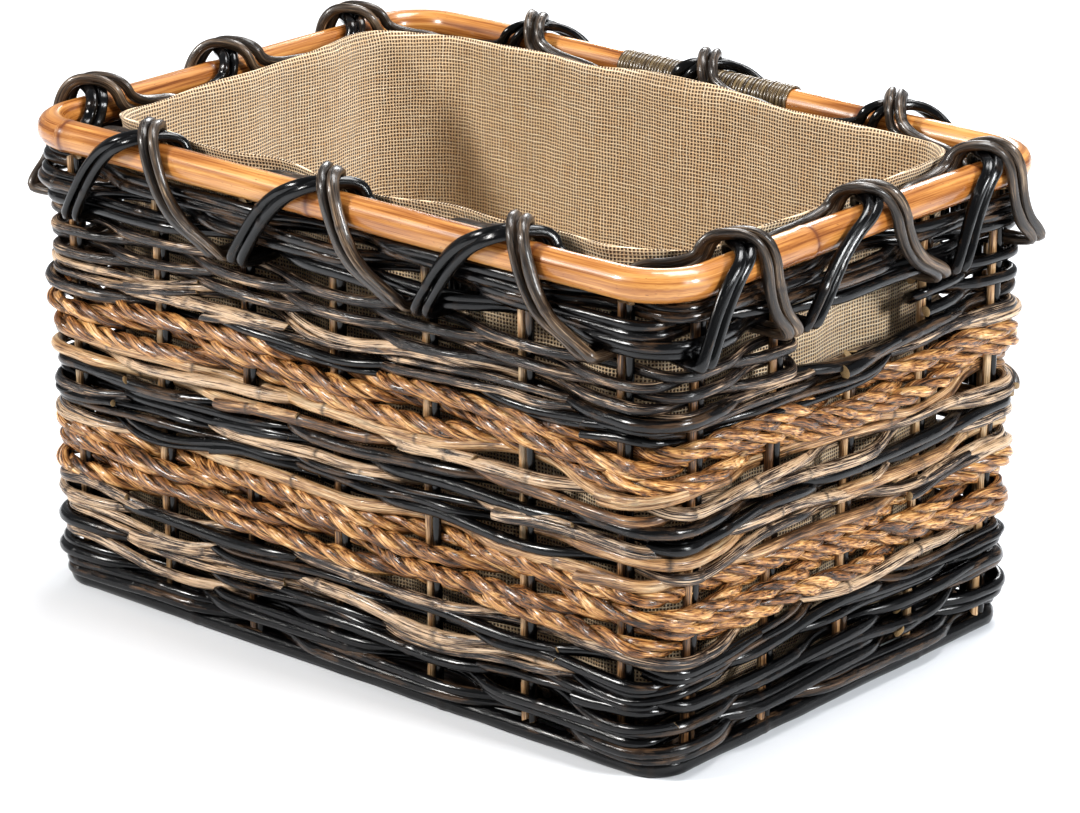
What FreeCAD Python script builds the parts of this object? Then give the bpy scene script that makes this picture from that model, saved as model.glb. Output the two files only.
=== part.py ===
"""Lined rattan log basket, as a parametric FreeCAD document. Millimetres, +Z up.

The origin is on the floor under the basket's centre. X runs along the long side and Y across.
Pairs of upright stakes stand on a rounded rectangle, the stake line. Every row is a rod or a rope that
passes outside two pairs and inside the next one, and its neighbours do so one pair further on. Sides
are numbered 0 front (-Y), 1 right (+X), 2 back (+Y), 3 left (-X), counter-clockwise seen from above.
A place on a side is (along, out, height): along the side, outwards from a line, and up.
"""
import FreeCAD, Part
import math
import os
import Sketcher

Vector = FreeCAD.Vector
doc = FreeCAD.newDocument("log_basket")

# ---------------------------------------------------------------- driving dimensions
SIZES = {
    "stake_half_length": 262.0, "stake_half_width": 180.0, "wall_flare": 5.0, "wall_height": 300.0,
    "stake_diameter": 5.5, "stake_pair_spacing": 6.4, "stake_foot": 11.8, "stake_top": 306.5,
    "long_spacing": 78.6, "short_spacing": 77.0, "play": 0.2, "end_gap": 0.6,
    "rod_diameter": 6.5, "row_pitch": 7.0, "rope_diameter": 10.0, "rope_pitch": 10.4,
    "thick_diameter": 10.0, "thick_pitch": 10.5, "plateau": 9.0, "sway_bend": 40.0,
    "lower_weave_start": 36.2, "lower_rope_start": 87.0, "middle_weave_start": 127.2,
    "upper_rope_start": 192.0, "upper_weave_start": 221.6, "handhold_start": 242.6,
    "wale_start": 17.0, "border_start": 280.8,
    "foot_diameter": 12.0, "foot_height": 5.2, "foot_bend": 22.0, "base_sway_bend": 26.0,
    "pole_half_length": 272.0, "pole_half_width": 190.0, "pole_bend": 36.0,
    "pole_diameter": 21.0, "pole_height": 320.0, "scarf_gap": 0.6,
    "binding_length": 150.0, "binding_cane": 1.8,
    "lash_diameter": 6.0, "lash_pair": 9.4, "lash_gap_height": 271.3, "lash_lean": 8.7,
    "base_half_length": 244.3, "base_half_width": 162.5, "base_bend": 14.0, "base_height": 14.0,
    "base_hoop_diameter": 9.0, "base_stick_diameter": 8.0, "base_stick_spacing": 68.0,
    "base_weaver_diameter": 7.0, "base_weaver_pitch": 7.6,
    "liner_half_length": 246.0, "liner_half_width": 164.0, "liner_bend": 50.0,
    "cloth_thickness": 1.5, "liner_floor_height": 25.6, "liner_wall_height": 301.0,
}
sheet = doc.addObject("Spreadsheet::Sheet", "sizes")
for line, (alias, value) in enumerate(SIZES.items(), start=1):
    sheet.set("A%d" % line, alias)
    sheet.set("B%d" % line, str(value))
    sheet.setAlias("B%d" % line, alias)
doc.recompute()


def size(alias):
    """The value of one cell of the sheet."""
    return float(getattr(sheet, alias))


# ---------------------------------------------------------------- places on the four sides
SIDES = ((Vector(1, 0, 0), Vector(0, -1, 0)), (Vector(0, 1, 0), Vector(1, 0, 0)),
         (Vector(-1, 0, 0), Vector(0, 1, 0)), (Vector(0, -1, 0), Vector(-1, 0, 0)))


def is_long(side):
    return side % 2 == 0


def stake_line(side, height):
    """Distance from the centre to a side's stake line, which flares outwards with height."""
    foot = size("stake_half_width") if is_long(side) else size("stake_half_length")
    return foot + size("wall_flare") * height / size("wall_height")


def pole_line(side):
    return size("pole_half_width") if is_long(side) else size("pole_half_length")


def place(side, along, reach, height):
    """A point on one side, reach being its distance from the centre plane."""
    run, out = SIDES[side]
    return run * along + out * reach + Vector(0, 0, height)


def stations(side):
    """Where a side's stake pairs stand, along the side."""
    spacing = size("long_spacing") if is_long(side) else size("short_spacing")
    steps = 3 if is_long(side) else 2
    return [spacing * step for step in range(-steps, steps + 1)]


def sway(diameter):
    """How far the middle of a rod passes from the stake line."""
    return (size("stake_diameter") + diameter) / 2 + size("play")


# ---------------------------------------------------------------- rods along straight runs and arcs
def smooth_edges(points, bends, closed=False):
    """Straight runs through the points, joined by tangent arcs whose radii are in bends."""
    count = len(points)
    starts, ends, arcs = [], [], []
    for index, point in enumerate(points):
        inner = closed or 0 < index < count - 1
        before = points[index - 1] - point
        after = points[(index + 1) % count] - point
        turn = math.pi - before.getAngle(after) if inner else 0.0
        if turn < 1e-4:
            starts.append(point)
            ends.append(point)
            arcs.append(None)
            continue
        before.normalize()
        after.normalize()
        tangent = bends[index] * math.tan(turn / 2)
        inward = (before + after).normalize()
        middle = point + inward * (bends[index] / math.cos(turn / 2) - bends[index])
        starts.append(point + before * tangent)
        ends.append(point + after * tangent)
        arcs.append(Part.Arc(starts[-1], middle, ends[-1]).toShape())
    edges = []
    for index in range(count):
        if arcs[index]:
            edges.append(arcs[index])
        if closed or index < count - 1:
            run_end = starts[(index + 1) % count]
            if (run_end - ends[index]).Length > 1e-5:
                edges.append(Part.LineSegment(ends[index], run_end).toShape())
    return edges


VOLUME_SLACK = 0.01


def rod_along(edges, diameter):
    """A round rod swept along joined edges. Its volume is its section times its length."""
    path = Part.Wire(edges)
    first = path.Edges[0]
    start = first.valueAt(first.FirstParameter)
    heading = first.tangentAt(first.FirstParameter)
    section = Part.Wire([Part.makeCircle(diameter / 2, start, heading)])
    rod = path.makePipeShell([section], True, False)
    wanted = math.pi * diameter ** 2 / 4 * path.Length
    if not rod.isValid() or abs(rod.Volume / wanted - 1) > VOLUME_SLACK:
        raise ValueError("a rod's sweep failed: %s of %s" % (rod.Volume, wanted))
    return rod


def feature(name, solids):
    """A sub-part made of separate solids."""
    part = doc.addObject("Part::Feature", name)
    part.Shape = Part.makeCompound(solids) if len(solids) > 1 else solids[0]
    part.Label = name
    part.Placement = FreeCAD.Placement()
    return part


# ---------------------------------------------------------------- woven rows
STATION_COUNT = 24    # stake pairs round the basket
OVER = 2              # how many pairs a row passes outside before it passes inside one
REPEAT = OVER + 1     # pairs in one repeat of the weave
ROW_STEP = 3          # how many repeats a row's start lies past that of the row below


def sway_side(station, phase, over):
    """1 where a row passes outside a stake pair and -1 where it passes inside."""
    return -1 if (station + phase) % (over + 1) == over else 1


def row_points(height, phase, diameter, over=OVER):
    """One turn of a row: its points, their bends, and each station's middle point by index."""
    offset = sway(diameter)
    corner = min(stake_line(1, height) - stations(0)[-1], stake_line(0, height) - stations(1)[-1])
    corner_bend = corner - offset - size("stake_pair_spacing")
    points, bends, middles = [], [], []
    station = 0
    for side in range(4):
        line = stake_line(side, height)
        places = stations(side)
        for order, along in enumerate(places):
            reach = line + offset * sway_side(station, phase, over)
            if order > 0:
                points.append(place(side, along - size("plateau"), reach, height))
                bends.append(size("sway_bend"))
            middles.append((len(points), place(side, along, reach, height)))
            if order < len(places) - 1:
                points.append(place(side, along + size("plateau"), reach, height))
                bends.append(size("sway_bend"))
            station += 1
        following = (side + 1) % 4
        here = line + offset * sway_side(station - 1, phase, over)
        next_side = sway_side(station % STATION_COUNT, phase, over)
        there = stake_line(following, height) + offset * next_side
        points.append(SIDES[side][1] * here + SIDES[following][1] * there + Vector(0, 0, height))
        bends.append(corner_bend)
    return points, bends, middles


def row_stretch(height, phase, diameter, first, last, lead=0.0, tail=0.0, over=OVER):
    """The edges of a row from one station to another; lead and tail lengthen its ends."""
    points, bends, middles = row_points(height, phase, diameter, over)
    total = len(middles)
    if last <= first:
        last += total
    start_index, start = middles[first % total]
    end_index, end = middles[last % total]
    if end_index <= start_index:
        end_index += len(points)
    between = range(start_index, end_index)
    chosen = [points[index % len(points)] for index in between]
    radii = [bends[index % len(points)] for index in between]
    heading = (chosen[0] - start).normalize()
    closing = (end - chosen[-1]).normalize()
    chosen = [start - heading * lead] + chosen + [end + closing * tail]
    return smooth_edges(chosen, [0.0] + radii + [0.0])


def row_rods(number, height, diameter):
    """A row's two rods. Their ends meet on the inside, behind stakes that step round row by row."""
    inside = (OVER - number) % REPEAT
    first = inside + REPEAT * (ROW_STEP * number % (STATION_COUNT // REPEAT))
    second = (first + STATION_COUNT // 2 + REPEAT * (number % 2)) % STATION_COUNT
    gap = size("end_gap") / 2
    return [rod_along(row_stretch(height, number, diameter, first, second, -gap, -gap), diameter),
            rod_along(row_stretch(height, number, diameter, second, first, -gap, -gap), diameter)]


def weave_band(name, start, tones, first_row):
    """A band of thin rods, one pair of tone letters for each row, sorted into a node per tone."""
    by_tone = {}
    for row, pair in enumerate(tones):
        height = start + row * size("row_pitch")
        rods = row_rods(first_row + row, height, size("rod_diameter"))
        for tone, rod in zip(pair, rods):
            by_tone.setdefault(tone, []).append(rod)
    names = {"k": "black", "g": "grey", "t": "tan"}
    return [feature("%s_%s" % (name, names[tone]), rods) for tone, rods in sorted(by_tone.items())]


def plain_band(name, start, pitch, diameter, rows, first_row):
    """A band of ropes or thick rods, each row one closed turn."""
    turns = []
    for row in range(rows):
        points, bends, _ = row_points(start + row * pitch, first_row + row, diameter)
        turns.append(rod_along(smooth_edges(points, bends, closed=True), diameter))
    return feature(name, turns)


def handhold_rod(name, first, last, rows=4):
    """A rod that weaves to and fro between the two handholds and turns round their end stakes.

    It passes outside one pair and inside the next, so that it goes round the end stakes.
    """
    diameter = size("rod_diameter")
    end_reach = size("stake_pair_spacing") / 2 + size("stake_diameter") / 2
    edges = []
    for row in range(rows):
        height = size("handhold_start") + row * size("row_pitch")
        stretch = row_stretch(height, row, diameter, first, last, end_reach, end_reach, over=1)
        if row % 2:
            stretch = [Part.Wire(stretch).Edges[-1 - index] for index in range(len(stretch))]
            stretch = [flipped(edge) for edge in stretch]
        if edges:
            edges.append(turn_back(edges[-1], stretch[0]))
        edges += stretch
    return feature(name, [rod_along(edges, diameter)])


def flipped(edge):
    """The same straight run or arc, drawn from its other end."""
    start = edge.valueAt(edge.LastParameter)
    end = edge.valueAt(edge.FirstParameter)
    if isinstance(edge.Curve, Part.Line):
        return Part.LineSegment(start, end).toShape()
    middle = edge.valueAt((edge.FirstParameter + edge.LastParameter) / 2)
    return Part.Arc(start, middle, end).toShape()


def turn_back(before, after):
    """A half circle from the end of one run to the start of the next, parallel one."""
    start = before.valueAt(before.LastParameter)
    end = after.valueAt(after.FirstParameter)
    heading = before.tangentAt(before.LastParameter)
    radius = (end - start).Length / 2
    return Part.Arc(start, (start + end) * 0.5 + heading * radius, end).toShape()


# ---------------------------------------------------------------- stakes
def stake_row(name, hand):
    """The stakes on one hand of every pair, each a leaning cylinder bound to the sheet."""
    stakes = []
    lean = math.atan2(size("wall_flare"), size("wall_height"))
    for side in range(4):
        leaning = FreeCAD.Rotation(SIDES[side][0], math.degrees(lean))
        for order, along in enumerate(stations(side)):
            stake = doc.addObject("Part::Cylinder", "%s_%d_%d" % (name, side, order))
            stake.setExpression("Radius", "sizes.stake_diameter / 2")
            in_handhold = not is_long(side) and along == 0
            top = "(sizes.handhold_start - sizes.row_pitch)" if in_handhold else "sizes.stake_top"
            stake.setExpression("Height", "%s - sizes.stake_foot" % top)
            foot = size("stake_foot")
            along += hand * size("stake_pair_spacing") / 2
            base = place(side, along, stake_line(side, foot), foot)
            stake.Placement = FreeCAD.Placement(base, leaning)
            stakes.append(stake)
    return group(name, stakes)


def group(name, members):
    """A sub-part made of several bound objects."""
    compound = doc.addObject("Part::Compound", name)
    compound.Links = members
    compound.Label = name
    return compound


# ---------------------------------------------------------------- hoops and cloth as bodies
def origin_plane(body, role):
    return next(plane for plane in body.Origin.OriginFeatures if plane.Role == role)


def bound(alias, less=None):
    """A size as an expression on the sheet and as a number, with another one taken off it."""
    if less is None:
        return "sizes.%s" % alias, size(alias)
    return "sizes.%s - sizes.%s" % (alias, less), size(alias) - size(less)


def new_sketch(body, role, name):
    sketch = body.newObject("Sketcher::SketchObject", name)
    sketch.AttachmentSupport = [(origin_plane(body, role), "")]
    sketch.MapMode = "FlatFace"
    return sketch


def fix(sketch, value, *geometry):
    """Adds one dimension to a sketch and binds it to the sheet."""
    expression, number = value
    index = sketch.addConstraint(Sketcher.Constraint(*geometry, number))
    sketch.setExpression("Constraints[%d]" % index, expression)


def draw_hoop(sketch, half_length, half_width, bend):
    """A rounded rectangle, which starts and ends in the middle of its +X side."""
    long, wide, turn = half_length[1], half_width[1], bend[1]
    ends = [Vector(long, 0), Vector(long, wide - turn), Vector(long - turn, wide),
            Vector(turn - long, wide), Vector(-long, wide - turn), Vector(-long, turn - wide),
            Vector(turn - long, -wide), Vector(long - turn, -wide), Vector(long, turn - wide),
            Vector(long, 0)]
    first = sketch.GeometryCount
    for piece in range(9):
        start, end = ends[piece], ends[piece + 1]
        if piece % 2 == 0:
            sketch.addGeometry(Part.LineSegment(start, end), False)
            continue
        turned = piece // 2 * math.pi / 2
        centre = Vector(math.copysign(long - turn, start.x), math.copysign(wide - turn, start.y))
        circle = Part.Circle(centre, Vector(0, 0, 1), turn)
        sketch.addGeometry(Part.ArcOfCircle(circle, turned, turned + math.pi / 2), False)
    add = sketch.addConstraint
    for piece in range(first, first + 8):
        add(Sketcher.Constraint("Tangent", piece, 2, piece + 1, 1))
    add(Sketcher.Constraint("Coincident", first + 8, 2, first, 1))
    add(Sketcher.Constraint("PointOnObject", first, 1, -1))
    for piece in (0, 4, 8):
        add(Sketcher.Constraint("Vertical", first + piece))
    for piece in (2, 6):
        add(Sketcher.Constraint("Horizontal", first + piece))
    for piece in (3, 5, 7):
        add(Sketcher.Constraint("Equal", first + 1, first + piece))
    fix(sketch, bend, "Radius", first + 1)
    fix(sketch, half_length, "DistanceX", -1, 1, first, 1)
    fix(sketch, half_length, "DistanceX", first + 4, 1, -1, 1)
    fix(sketch, half_width, "DistanceY", -1, 1, first + 2, 1)
    fix(sketch, half_width, "DistanceY", first + 6, 1, -1, 1)


def hoop(name, half_length, half_width, bend, diameter, height):
    """A round rod bent to a closed rounded rectangle, its path and section drawn as sketches."""
    body = doc.addObject("PartDesign::Body", name)
    path = new_sketch(body, "XY_Plane", name + "_path")
    draw_hoop(path, bound(half_length), bound(half_width), bound(bend))
    section = new_sketch(body, "XZ_Plane", name + "_section")
    section.addGeometry(Part.Circle(Vector(size(half_length), 0), Vector(0, 0, 1),
                                    size(diameter) / 2), False)
    section.addConstraint(Sketcher.Constraint("PointOnObject", 0, 3, -1))
    fix(section, bound(half_length), "DistanceX", -1, 1, 0, 3)
    fix(section, bound(diameter), "Diameter", 0)
    pipe = body.newObject("PartDesign::AdditivePipe", name + "_rod")
    pipe.Profile = section
    pipe.Spine = (path, [])
    body.Tip = pipe
    body.setExpression("Placement.Base.z", "sizes." + height)
    body.Label = name
    return body


def cloth_panel(name, floor_height, depth, hollow):
    """A flat or upright panel of the liner, padded from the liner's outline."""
    body = doc.addObject("PartDesign::Body", name)
    outline = new_sketch(body, "XY_Plane", name + "_outline")
    draw_hoop(outline, bound("liner_half_length"), bound("liner_half_width"), bound("liner_bend"))
    if hollow:
        draw_hoop(outline, bound("liner_half_length", "cloth_thickness"),
                  bound("liner_half_width", "cloth_thickness"),
                  bound("liner_bend", "cloth_thickness"))
    pad = body.newObject("PartDesign::Pad", name + "_cloth")
    pad.Profile = outline
    pad.setExpression("Length", depth)
    body.Tip = pad
    body.setExpression("Placement.Base.z", floor_height)
    body.Label = name
    return body


def cut(name, base, tool):
    """What is left of a sub-part when a tool shape is taken away."""
    result = doc.addObject("Part::Cut", name)
    result.Base = base
    result.Tool = tool
    result.Label = name
    return result


def block(name, length, width, height, base, turn=0.0):
    """A cutting block, centred on base in X and Y, turned about Z."""
    box = doc.addObject("Part::Box", name)
    box.Length, box.Width, box.Height = length, width, height
    rotation = FreeCAD.Rotation(Vector(0, 0, 1), turn)
    half = rotation.multVec(Vector(length / 2, width / 2, 0))
    box.Placement = FreeCAD.Placement(base - half, rotation)
    return box


# ---------------------------------------------------------------- foot hoop, its underside flat
def make_foot_hoop():
    plain = hoop("foot_rod", "stake_half_length", "stake_half_width", "foot_bend",
                 "foot_diameter", "foot_height")
    depth = size("foot_diameter")
    under = block("floor_cut", 3 * size("stake_half_length"), 3 * size("stake_half_width"), depth,
                  Vector(0, 0, -depth))
    return cut("foot_hoop", plain, under)


# ---------------------------------------------------------------- woven base, set inside the wall
def make_base_sticks():
    sticks = []
    for step in range(-2, 3):
        stick = doc.addObject("Part::Cylinder", "base_stick_%d" % (step + 2))
        stick.setExpression("Radius", "sizes.base_stick_diameter / 2")
        stick.setExpression("Height", "2 * (sizes.base_half_length"
                                      " - sizes.base_hoop_diameter / 2 - sizes.play)")
        reach = size("base_half_length") - size("base_hoop_diameter") / 2 - size("play")
        stick.Placement = FreeCAD.Placement(
            Vector(-reach, step * size("base_stick_spacing"), size("base_height")),
            FreeCAD.Rotation(Vector(0, 1, 0), 90))
        sticks.append(stick)
    return group("base_sticks", sticks)


def make_base_weavers():
    """Rods across the base, over one stick and under the next, neighbours the other way."""
    diameter = size("base_weaver_diameter")
    rise = (size("base_stick_diameter") + diameter) / 2 + size("play")
    reach = size("base_half_width") - size("base_hoop_diameter") / 2 - size("play")
    count = int((size("base_half_length") - size("base_hoop_diameter")) / size("base_weaver_pitch"))
    weavers = []
    for step in range(-count, count + 1):
        points = []
        for stick in range(-2, 3):
            height = size("base_height") + rise * (-1) ** (stick + step)
            middle = stick * size("base_stick_spacing")
            for shift in (-size("plateau"), size("plateau")):
                points.append(Vector(step * size("base_weaver_pitch"), middle + shift, height))
        points[0].y = -reach
        points[-1].y = reach
        edges = smooth_edges(points, [size("base_sway_bend")] * len(points))
        weavers.append(rod_along(edges, diameter))
    return feature("base_weavers", weavers)


# ---------------------------------------------------------------- rim pole and its splice
SCARF_ANGLE = 60.0    # from the pole's own direction, seen from above


def make_rim_pole():
    """One cane bent to a hoop. Its ends meet in a slanted scarf in the middle of the back."""
    bent = hoop("bent_pole", "pole_half_length", "pole_half_width", "pole_bend",
                "pole_diameter", "pole_height")
    half = size("pole_diameter")
    scarf = block("scarf_cut", size("scarf_gap"), 4 * half, 2 * half,
                  Vector(0, size("pole_half_width"), size("pole_height") - half), SCARF_ANGLE)
    return cut("rim_pole", bent, scarf)


def make_splice_binding():
    """Thin cane wound round the pole over the scarf, as one sleeve."""
    sleeves = []
    for name, radius in (("binding_outside", "sizes.pole_diameter / 2 + sizes.binding_cane"),
                         ("binding_inside", "sizes.pole_diameter / 2 + sizes.play / 2")):
        sleeve = doc.addObject("Part::Cylinder", name)
        sleeve.setExpression("Radius", radius)
        sleeve.setExpression("Height", "sizes.binding_length")
        sleeve.Placement = FreeCAD.Placement(
            Vector(-size("binding_length") / 2, size("pole_half_width"), size("pole_height")),
            FreeCAD.Rotation(Vector(0, 1, 0), 90))
        sleeves.append(sleeve)
    return cut("splice_binding", *sleeves)


# ---------------------------------------------------------------- lashing of wall to pole
# On each side: where the black pair comes out of the wall, the crest where both pairs cross over
# the pole, and where the brown pair goes back in. All are places along the side.
STITCHES = {True: ((-220.0, -158.0, -93.2), (-64.2, 0.0, 64.2), (93.2, 156.0, 220.0)),
            False: ((-171.5, -122.0, -91.5), (-62.5, 6.0, 62.5), (91.5, 132.0, 171.5))}
LASH_BEND = 13.0
RUN_SHARE = 0.45      # how much of its shorter run a bend may take up
OUTSIDE = 15.4        # from the pole's middle line to a strand beside it or over it
INSIDE = -22.6        # and in to a strand that runs down inside the border rods
IN_CORNER = -27.6     # the same in a corner, where two holes share less room
BLACK_TOP = size("pole_height") + OUTSIDE
BROWN_TOP = BLACK_TOP + 7.2
DROP = 7.0            # how far along a pair travels while it drops from its crest
BLACK_RUN = 315.0     # the black pair runs beside the pole at this height
BROWN_RUN = 325.0     # and the brown pair, one layer further in, at this one
RUN_RISE = 3.0        # a pair stands this much above its run at the foot of its drop
BLACK_TURN = 305.0    # below this height the black pair goes straight down
SHORT_OF_HOLE = 10.0  # where, along the side, a run beside the pole ends before its hole
SHORT_OF_BEND = 8.0   # and before the pole's bend
# The leading strand's place in its pair, along and up. The other strand is opposite.
HALF_PAIR = size("lash_pair") / 2
ABREAST = (HALF_PAIR, 0.0)
BLACK_SLANT, BLACK_UPRIGHT, BLACK_TURNED = (4.2, 3.4), (2.0, 3.6), (HALF_PAIR, 2.6)
BROWN_SLANT, BROWN_TURNED = (4.2, -3.4), (HALF_PAIR, -3.4)
CORNER_SHARE = 0.65   # how much of its place along a strand keeps in a corner


def strand(hand, lead):
    """The place in its pair of the leading strand, hand 1, or of the other one, hand -1."""
    return hand * lead[0], hand * lead[1]


def lash_point(side, along, out, height, shift=(0.0, 0.0)):
    """A point beside the pole. The shift, along and up, is this strand's place in its pair."""
    return place(side, along + shift[0], pole_line(side) + out, height + shift[1])


def corner_point(side, out, height, shift=(0.0, 0.0)):
    """A point inside the corner that follows a side, out from the bend of the pole there."""
    following = (side + 1) % 4
    bend = size("pole_bend")
    inset = bend - (bend + out) * math.sqrt(0.5)
    across = (SIDES[side][0] + SIDES[following][0]) * math.sqrt(0.5) * shift[0]
    return (SIDES[side][1] * (pole_line(side) - inset) + across
            + SIDES[following][1] * (pole_line(following) - inset)
            + Vector(0, 0, height + shift[1]))


def inner_point(side, along, height, shift):
    """A point straight inside a hole in the wall. Holes past the last stake share a corner."""
    if abs(along) < stations(side)[-1]:
        return lash_point(side, along, INSIDE, height, shift)
    corner = side if along > 0 else (side - 1) % 4
    return corner_point(corner, IN_CORNER, height, (shift[0] * CORNER_SHARE, shift[1]))


def hole(side, along, hand):
    """Where a strand passes through the wall: inside, the middle's two cane ends, outside."""
    shift = strand(hand, ABREAST)
    inside = inner_point(side, along, size("lash_gap_height"), shift)
    outside = lash_point(side, along, OUTSIDE, size("lash_gap_height"), shift)
    half_gap = (outside - inside).normalize() * size("end_gap") / 2
    middle = (inside + outside) * 0.5
    return inside, middle - half_gap, middle + half_gap, outside


def black_cane(side, hand):
    """One side's black cane: out of the wall, over the pole, down the inside and out again."""
    lean = size("lash_lean")
    flat, turned = strand(hand, ABREAST), strand(hand, BLACK_TURNED)
    slant, upright = strand(hand, BLACK_SLANT), strand(hand, BLACK_UPRIGHT)
    stitches = STITCHES[is_long(side)]
    following = (side + 1) % 4
    points = [hole(side, stitches[0][0], hand)[2]]
    for order, (start, crest, _) in enumerate(stitches):
        points.append(hole(side, start, hand)[3])
        points.append(lash_point(side, crest - lean, OUTSIDE, BLACK_TOP, flat))
        points.append(lash_point(side, crest + lean, -OUTSIDE, BLACK_TOP, flat))
        foot = crest + lean + DROP
        points.append(lash_point(side, foot, -OUTSIDE, BLACK_RUN + RUN_RISE, slant))
        if order < len(stitches) - 1:
            to_side, to_start = side, stitches[order + 1][0]
            run_end = to_start - SHORT_OF_HOLE
            points.append(lash_point(side, run_end, -OUTSIDE, BLACK_RUN, upright))
        else:
            to_side, to_start = following, STITCHES[is_long(following)][0][0]
            if is_long(side):
                run_end = pole_line(following) - size("pole_bend") - SHORT_OF_BEND
                points.append(lash_point(side, run_end, -OUTSIDE, BLACK_RUN, upright))
            points.append(corner_point(side, -OUTSIDE, BLACK_RUN, upright))
        points.append(inner_point(to_side, to_start, BLACK_TURN, turned))
        points.append(hole(to_side, to_start, hand)[0])
    points.append(hole(to_side, to_start, hand)[1])
    return rod_along(smooth_edges(points, lash_bends(points)), size("lash_diameter"))


def brown_cane(side, hand):
    """One side's brown cane: into the wall, up the inside, over the pole and in again."""
    lean = size("lash_lean")
    flat, turned = strand(hand, ABREAST), strand(hand, BROWN_TURNED)
    slant = strand(hand, BROWN_SLANT)
    from_side = (side - 1) % 4
    end = STITCHES[is_long(from_side)][-1][2]
    points = [hole(from_side, end, hand)[1]]
    for _, crest, next_end in STITCHES[is_long(side)]:
        points.append(hole(from_side, end, hand)[0])
        points.append(inner_point(from_side, end, BROWN_RUN, turned))
        foot = crest - lean - DROP
        points.append(lash_point(side, foot, -OUTSIDE - 1, BROWN_RUN + RUN_RISE, slant))
        points.append(lash_point(side, crest - lean, -OUTSIDE, BROWN_TOP, flat))
        points.append(lash_point(side, crest + lean, OUTSIDE, BROWN_TOP, flat))
        from_side, end = side, next_end
        points.append(hole(side, end, hand)[3])
    points.append(hole(side, end, hand)[2])
    return rod_along(smooth_edges(points, lash_bends(points)), size("lash_diameter"))


def lash_bends(points):
    """Each bend is as round as its shorter run allows, up to the bend of a strand over the pole."""
    bends = [0.0]
    for before, point, after in zip(points, points[1:], points[2:]):
        turn = math.pi - (before - point).getAngle(after - point)
        room = RUN_SHARE * min((before - point).Length, (after - point).Length)
        bends.append(min(LASH_BEND, room / math.tan(max(turn, 0.01) / 2)))
    return bends + [0.0]


def lashing(name, cane):
    """Both strands of a pair, each worked in four lengths that meet inside the wall."""
    return feature(name, [cane(side, hand) for side in range(4) for hand in (-1, 1)])


# ---------------------------------------------------------------- the whole basket
parts = [make_foot_hoop(),
         hoop("base_hoop", "base_half_length", "base_half_width", "base_bend",
              "base_hoop_diameter", "base_height"),
         make_base_sticks(), make_base_weavers(),
         stake_row("light_stakes", -1), stake_row("dark_stakes", 1),
         plain_band("wale_rods", size("wale_start"), size("thick_pitch"),
                    size("thick_diameter"), 2, 0)]
parts += weave_band("lower_weave", size("lower_weave_start"),
                    ("kg", "kk", "gk", "kg", "gk", "kk", "gg"), 0)
parts.append(plain_band("lower_ropes", size("lower_rope_start"), size("rope_pitch"),
                        size("rope_diameter"), 4, 1))
parts += weave_band("middle_weave", size("middle_weave_start"),
                    ("gt", "kg", "tk", "gg", "kt", "kk", "tg", "gk", "tt"), 1)
parts.append(plain_band("upper_ropes", size("upper_rope_start"), size("rope_pitch"),
                        size("rope_diameter"), 3, 0))
parts += weave_band("upper_weave", size("upper_weave_start"), ("gk", "gg", "kg"), 1)
parts += [handhold_rod("front_handhold_rod", 22, 8), handhold_rod("back_handhold_rod", 10, 20),
          plain_band("border_rods", size("border_start"), size("thick_pitch"),
                     size("thick_diameter"), 3, 0),
          make_rim_pole(), make_splice_binding(),
          lashing("black_lashing", black_cane), lashing("brown_lashing", brown_cane),
          cloth_panel("liner_floor", "sizes.liner_floor_height", "sizes.cloth_thickness", False),
          cloth_panel("liner_wall", "sizes.liner_floor_height + sizes.cloth_thickness",
                      "sizes.liner_wall_height", True)]

doc.recompute()
for thing in doc.Objects:
    if "Invalid" in thing.State or "Error" in thing.State:
        raise ValueError("%s failed: %s" % (thing.Name, thing.State))
for part in parts:
    if part.Shape.isNull() or not part.Shape.isValid():
        raise ValueError("%s has no valid shape" % part.Label)

os.makedirs("parts", exist_ok=True)
for part in parts:
    part.Shape.exportStep("parts/%s.step" % part.Label)
    print("%-22s %3d solids %9.0f mm3" % (part.Label, len(part.Shape.Solids), part.Shape.Volume))
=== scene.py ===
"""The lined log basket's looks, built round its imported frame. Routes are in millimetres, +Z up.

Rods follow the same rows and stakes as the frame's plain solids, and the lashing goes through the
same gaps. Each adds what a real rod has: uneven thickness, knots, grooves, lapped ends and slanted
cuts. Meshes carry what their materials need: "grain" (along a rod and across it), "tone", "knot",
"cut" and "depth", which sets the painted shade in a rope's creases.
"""
import math

import bpy
import numpy as np
from mathutils import Matrix, Vector


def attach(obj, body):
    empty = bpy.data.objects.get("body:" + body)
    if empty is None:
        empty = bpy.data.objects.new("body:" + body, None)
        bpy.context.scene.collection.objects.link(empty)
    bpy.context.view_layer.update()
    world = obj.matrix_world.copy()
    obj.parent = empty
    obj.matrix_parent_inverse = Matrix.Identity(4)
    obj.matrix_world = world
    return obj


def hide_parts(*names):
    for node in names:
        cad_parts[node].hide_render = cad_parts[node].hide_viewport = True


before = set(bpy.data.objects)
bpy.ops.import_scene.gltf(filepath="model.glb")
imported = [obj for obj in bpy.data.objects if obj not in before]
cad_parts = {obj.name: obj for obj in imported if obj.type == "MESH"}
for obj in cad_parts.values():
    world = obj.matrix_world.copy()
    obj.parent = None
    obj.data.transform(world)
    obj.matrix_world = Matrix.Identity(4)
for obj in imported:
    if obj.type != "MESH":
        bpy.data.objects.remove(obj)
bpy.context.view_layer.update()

MM = 0.001
TAU = 2 * math.pi
SEED = 41
rng = np.random.default_rng(SEED)


def added(name, data):
    """A new object in the scene."""
    made = bpy.data.objects.new(name, data)
    bpy.context.scene.collection.objects.link(made)
    return made


# ---- camera, first because it is fixed
AZIMUTH, ELEVATION, ROLL = math.radians(40.55), math.radians(19.35), math.radians(0.22)
TARGET, DISTANCE = Vector((0.01075, 0.0, 0.13898)), 3.0018
LENS, SENSOR, CLIP_END = 150.0, 36.0, 60


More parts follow.
